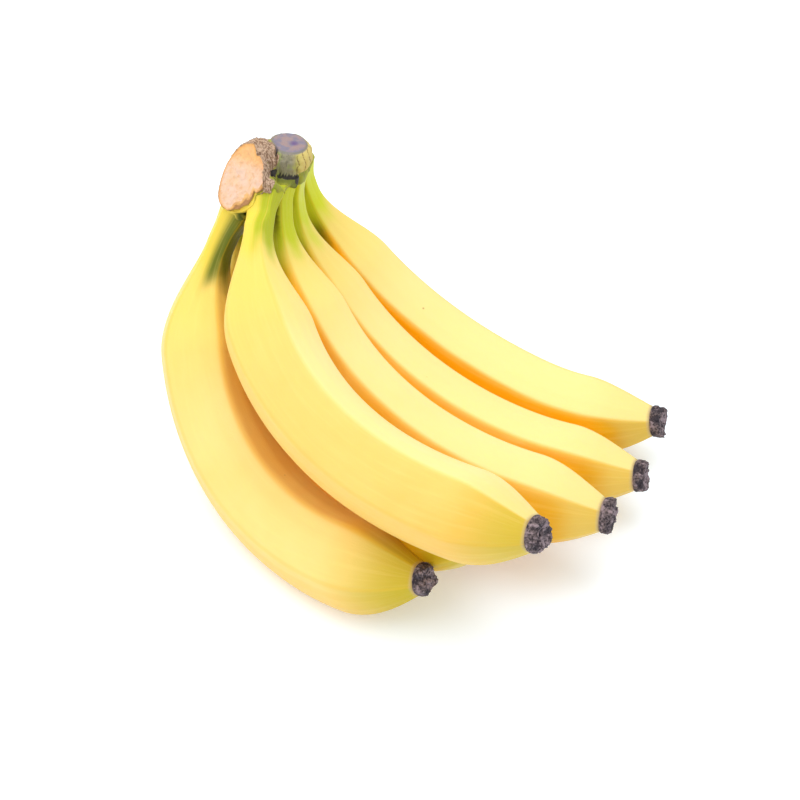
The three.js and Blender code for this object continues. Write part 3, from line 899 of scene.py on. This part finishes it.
def stub_cut_top(n):
    """Lilac grey clouded with pink, a purple bruise in the middle and a thin grey-green lip."""
    colour = n.mix(n.smooth(n.noise(240, 3), 0.42, 0.60), TOP_GREY, TOP_PINK)
    to_bruise = {0: n.place_in_metres(), 1: BRUISE_PLACE}
    distance = n.put("ShaderNodeVectorMath", to_bruise, operation="DISTANCE").outputs["Value"]
    colour = n.mix(n.smooth(distance, 0.0005, 0.0026, 0.85, 0.0), colour, BRUISE)
    return n.mix(n.smooth(n.attribute("top_edge"), 0.3, 0.9, 0.0, 0.8), colour, TOP_LIP)


CUT_CREAM = (0.75, 0.49, 0.31)
CUT_PINK = (0.73, 0.50, 0.37)
CUT_BORDER = (0.72, 0.36, 0.11)
CUT_UPPER = (0.80, 0.40, 0.11)
CUT_SPOTS = (0.62, 0.33, 0.15)
CUT_LINES = (0.66, 0.36, 0.16)
CUT_EDGE = (0.34, 0.16, 0.06)
FLAP_LIGHT = (0.74, 0.42, 0.14)
FLAP_DARK = (0.50, 0.24, 0.06)


def long_cut_face(n, upright):
    """Pinkish cream in the middle, orange towards the border and the top, brown at the torn edge."""
    cloud = n.noise(190, 3)
    inside_face = n.attribute("inside_face")
    colour = n.mix(n.smooth(cloud, 0.35, 0.65), CUT_CREAM, CUT_PINK)
    colour = n.mix(n.smooth(inside_face, 0.5, 2.6, 0.9, 0.0), colour, CUT_BORDER)
    height = n.put("ShaderNodeSeparateXYZ", {0: n.place_in_metres()}).outputs[2]
    upper = n.math("MULTIPLY_ADD", cloud, 0.006, height)
    colour = n.mix(n.smooth(upper, 0.133, 0.138, 0.0, 0.75), colour, CUT_UPPER)
    colour = n.mix(n.smooth(n.noise(420, 4), 0.56, 0.68, 0.0, 0.5), colour, CUT_SPOTS)
    colour = n.mix(n.smooth(n.noise(650, 3, upright), 0.52, 0.66, 0.0, 0.45), colour, CUT_LINES)
    colour = n.mix(n.smooth(inside_face, 0.0, 1.0, 0.9, 0.0), colour, CUT_EDGE)
    flap = n.mix(n.smooth(n.noise(350, 3), 0.42, 0.60), FLAP_LIGHT, FLAP_DARK)
    return n.mix(n.smooth(n.attribute("flaps"), 0.2, 0.9, 0.0, 0.75), colour, flap)


TORN_ORANGE = (0.62, 0.34, 0.09)
TORN_BROWN = (0.42, 0.20, 0.06)
STRAW_DARK = (0.20, 0.11, 0.06)
STRAW = (0.52, 0.36, 0.25)
FURROW_SHADE_BLACK = (0.030, 0.024, 0.020)


def crown_tissue():
    n = Nodes("crown_tissue")
    grain = n.noise(900, 4)
    drawn_up = {0: n.place_in_metres(), 1: (1, 1, 0.07)}
    upright = n.put("ShaderNodeVectorMath", drawn_up, operation="MULTIPLY").outputs[0]
    fibre = n.noise(1500, 3, upright)
    colour = n.mix(n.attribute("stub_side"), crown_skin(n, fibre), stub_side(n, fibre))
    torn = n.mix(n.smooth(n.noise(300, 4), 0.40, 0.62), TORN_ORANGE, TORN_BROWN)
    colour = n.mix(n.attribute("torn"), colour, torn)
    colour = n.mix(n.attribute("stub_top"), colour, stub_cut_top(n))
    colour = n.mix(n.attribute("face"), colour, long_cut_face(n, upright))

    # Dry brown fibres round the cut, and the near-black furrow under the stub, partly torn tissue and
    # partly painted shadow under its rim.
    straw = n.mix(n.smooth(fibre, 0.38, 0.60), STRAW_DARK, STRAW)
    colour = n.mix(n.smooth(n.attribute("fibres"), 0.1, 0.5), colour, straw)
    furrow = n.math("MULTIPLY_ADD", n.attribute("uneven"), 0.3, n.attribute("furrow"))
    colour = n.mix(n.smooth(furrow, 0.25, 0.75), colour, FURROW_SHADE_BLACK)
    n.set({"Subsurface Weight": 0.08, "Subsurface Scale": 0.0015, "Subsurface Radius": (1.0, 0.6, 0.3)})
    return n.finish(colour, n.smooth(grain, 0.3, 0.7, 0.85, 0.65), grain, 0.0004, 0.6)


place("crown_pad", crown_mesh(), crown_tissue(), ["crown"])

# ---- The floor, the light and the camera ---------------------------------------------------------------
# A plain white table under a wide soft light from all round, with a weak lamp in front to the left and
# another overhead. It is looked down on from in front.

TABLE_HALF = 3
TABLE_WHITE = (0.81, 0.90, 0.99, 1)
PURE_WHITE = (1, 1, 1, 1)
TABLE_GLOW = 0.22         # a faint light of the table's own, which keeps its shadow pale
SURROUNDING_LIGHT = 0.85

signs = ((-1, -1), (1, -1), (1, 1), (-1, 1))
corners = [(TABLE_HALF * x, TABLE_HALF * y, 0) for x, y in signs]
floor_mesh = bpy.data.meshes.new("floor")
floor_mesh.from_pydata(corners, [], [(0, 1, 2, 3)])
floor = bpy.data.objects.new("floor", floor_mesh)
bpy.context.scene.collection.objects.link(floor)
white = Nodes("white_table")
white.set({"Base Color": TABLE_WHITE, "Roughness": 0.9, "Specular IOR Level": 0.1,
           "Emission Color": PURE_WHITE, "Emission Strength": TABLE_GLOW})
floor.data.materials.append(white.material)

scene = bpy.context.scene
world = bpy.data.worlds.new("studio")
scene.world = world
world.use_nodes = True
world.node_tree.nodes["Background"].inputs["Color"].default_value = PURE_WHITE
world.node_tree.nodes["Background"].inputs["Strength"].default_value = SURROUNDING_LIGHT


def soft_light(name, at, size, watts, target=(0, 0, 0.05)):
    """A square lamp that faces the fruit."""
    lamp = bpy.data.lights.new(name, "AREA")
    lamp.shape = "SQUARE"
    lamp.size = size
    lamp.energy = watts
    holder = bpy.data.objects.new(name, lamp)
    holder.location = at
    holder.rotation_euler = (Vector(target) - Vector(at)).to_track_quat("-Z", "Y").to_euler()
    scene.collection.objects.link(holder)


soft_light("front_left", (-0.55, -0.45, 1.0), size=0.9, watts=3.5)
soft_light("overhead", (-0.10, 0.10, 1.1), size=1.0, watts=6.0)

CAMERA_TILT = math.radians(42)
CAMERA_DISTANCE = 0.760
LOOK_AT = Vector((-0.0070, -0.0364, 0.0855))

camera = bpy.data.cameras.new("camera")
camera.lens = 86.4
camera.sensor_width = 36
camera.clip_start = 0.05
eye = bpy.data.objects.new("camera", camera)
eye.location = LOOK_AT + CAMERA_DISTANCE * Vector((0, -math.cos(CAMERA_TILT), math.sin(CAMERA_TILT)))
eye.rotation_euler = (math.pi / 2 - CAMERA_TILT, 0, 0)
scene.collection.objects.link(eye)
scene.camera = eye
scene.view_settings.view_transform = "Standard"
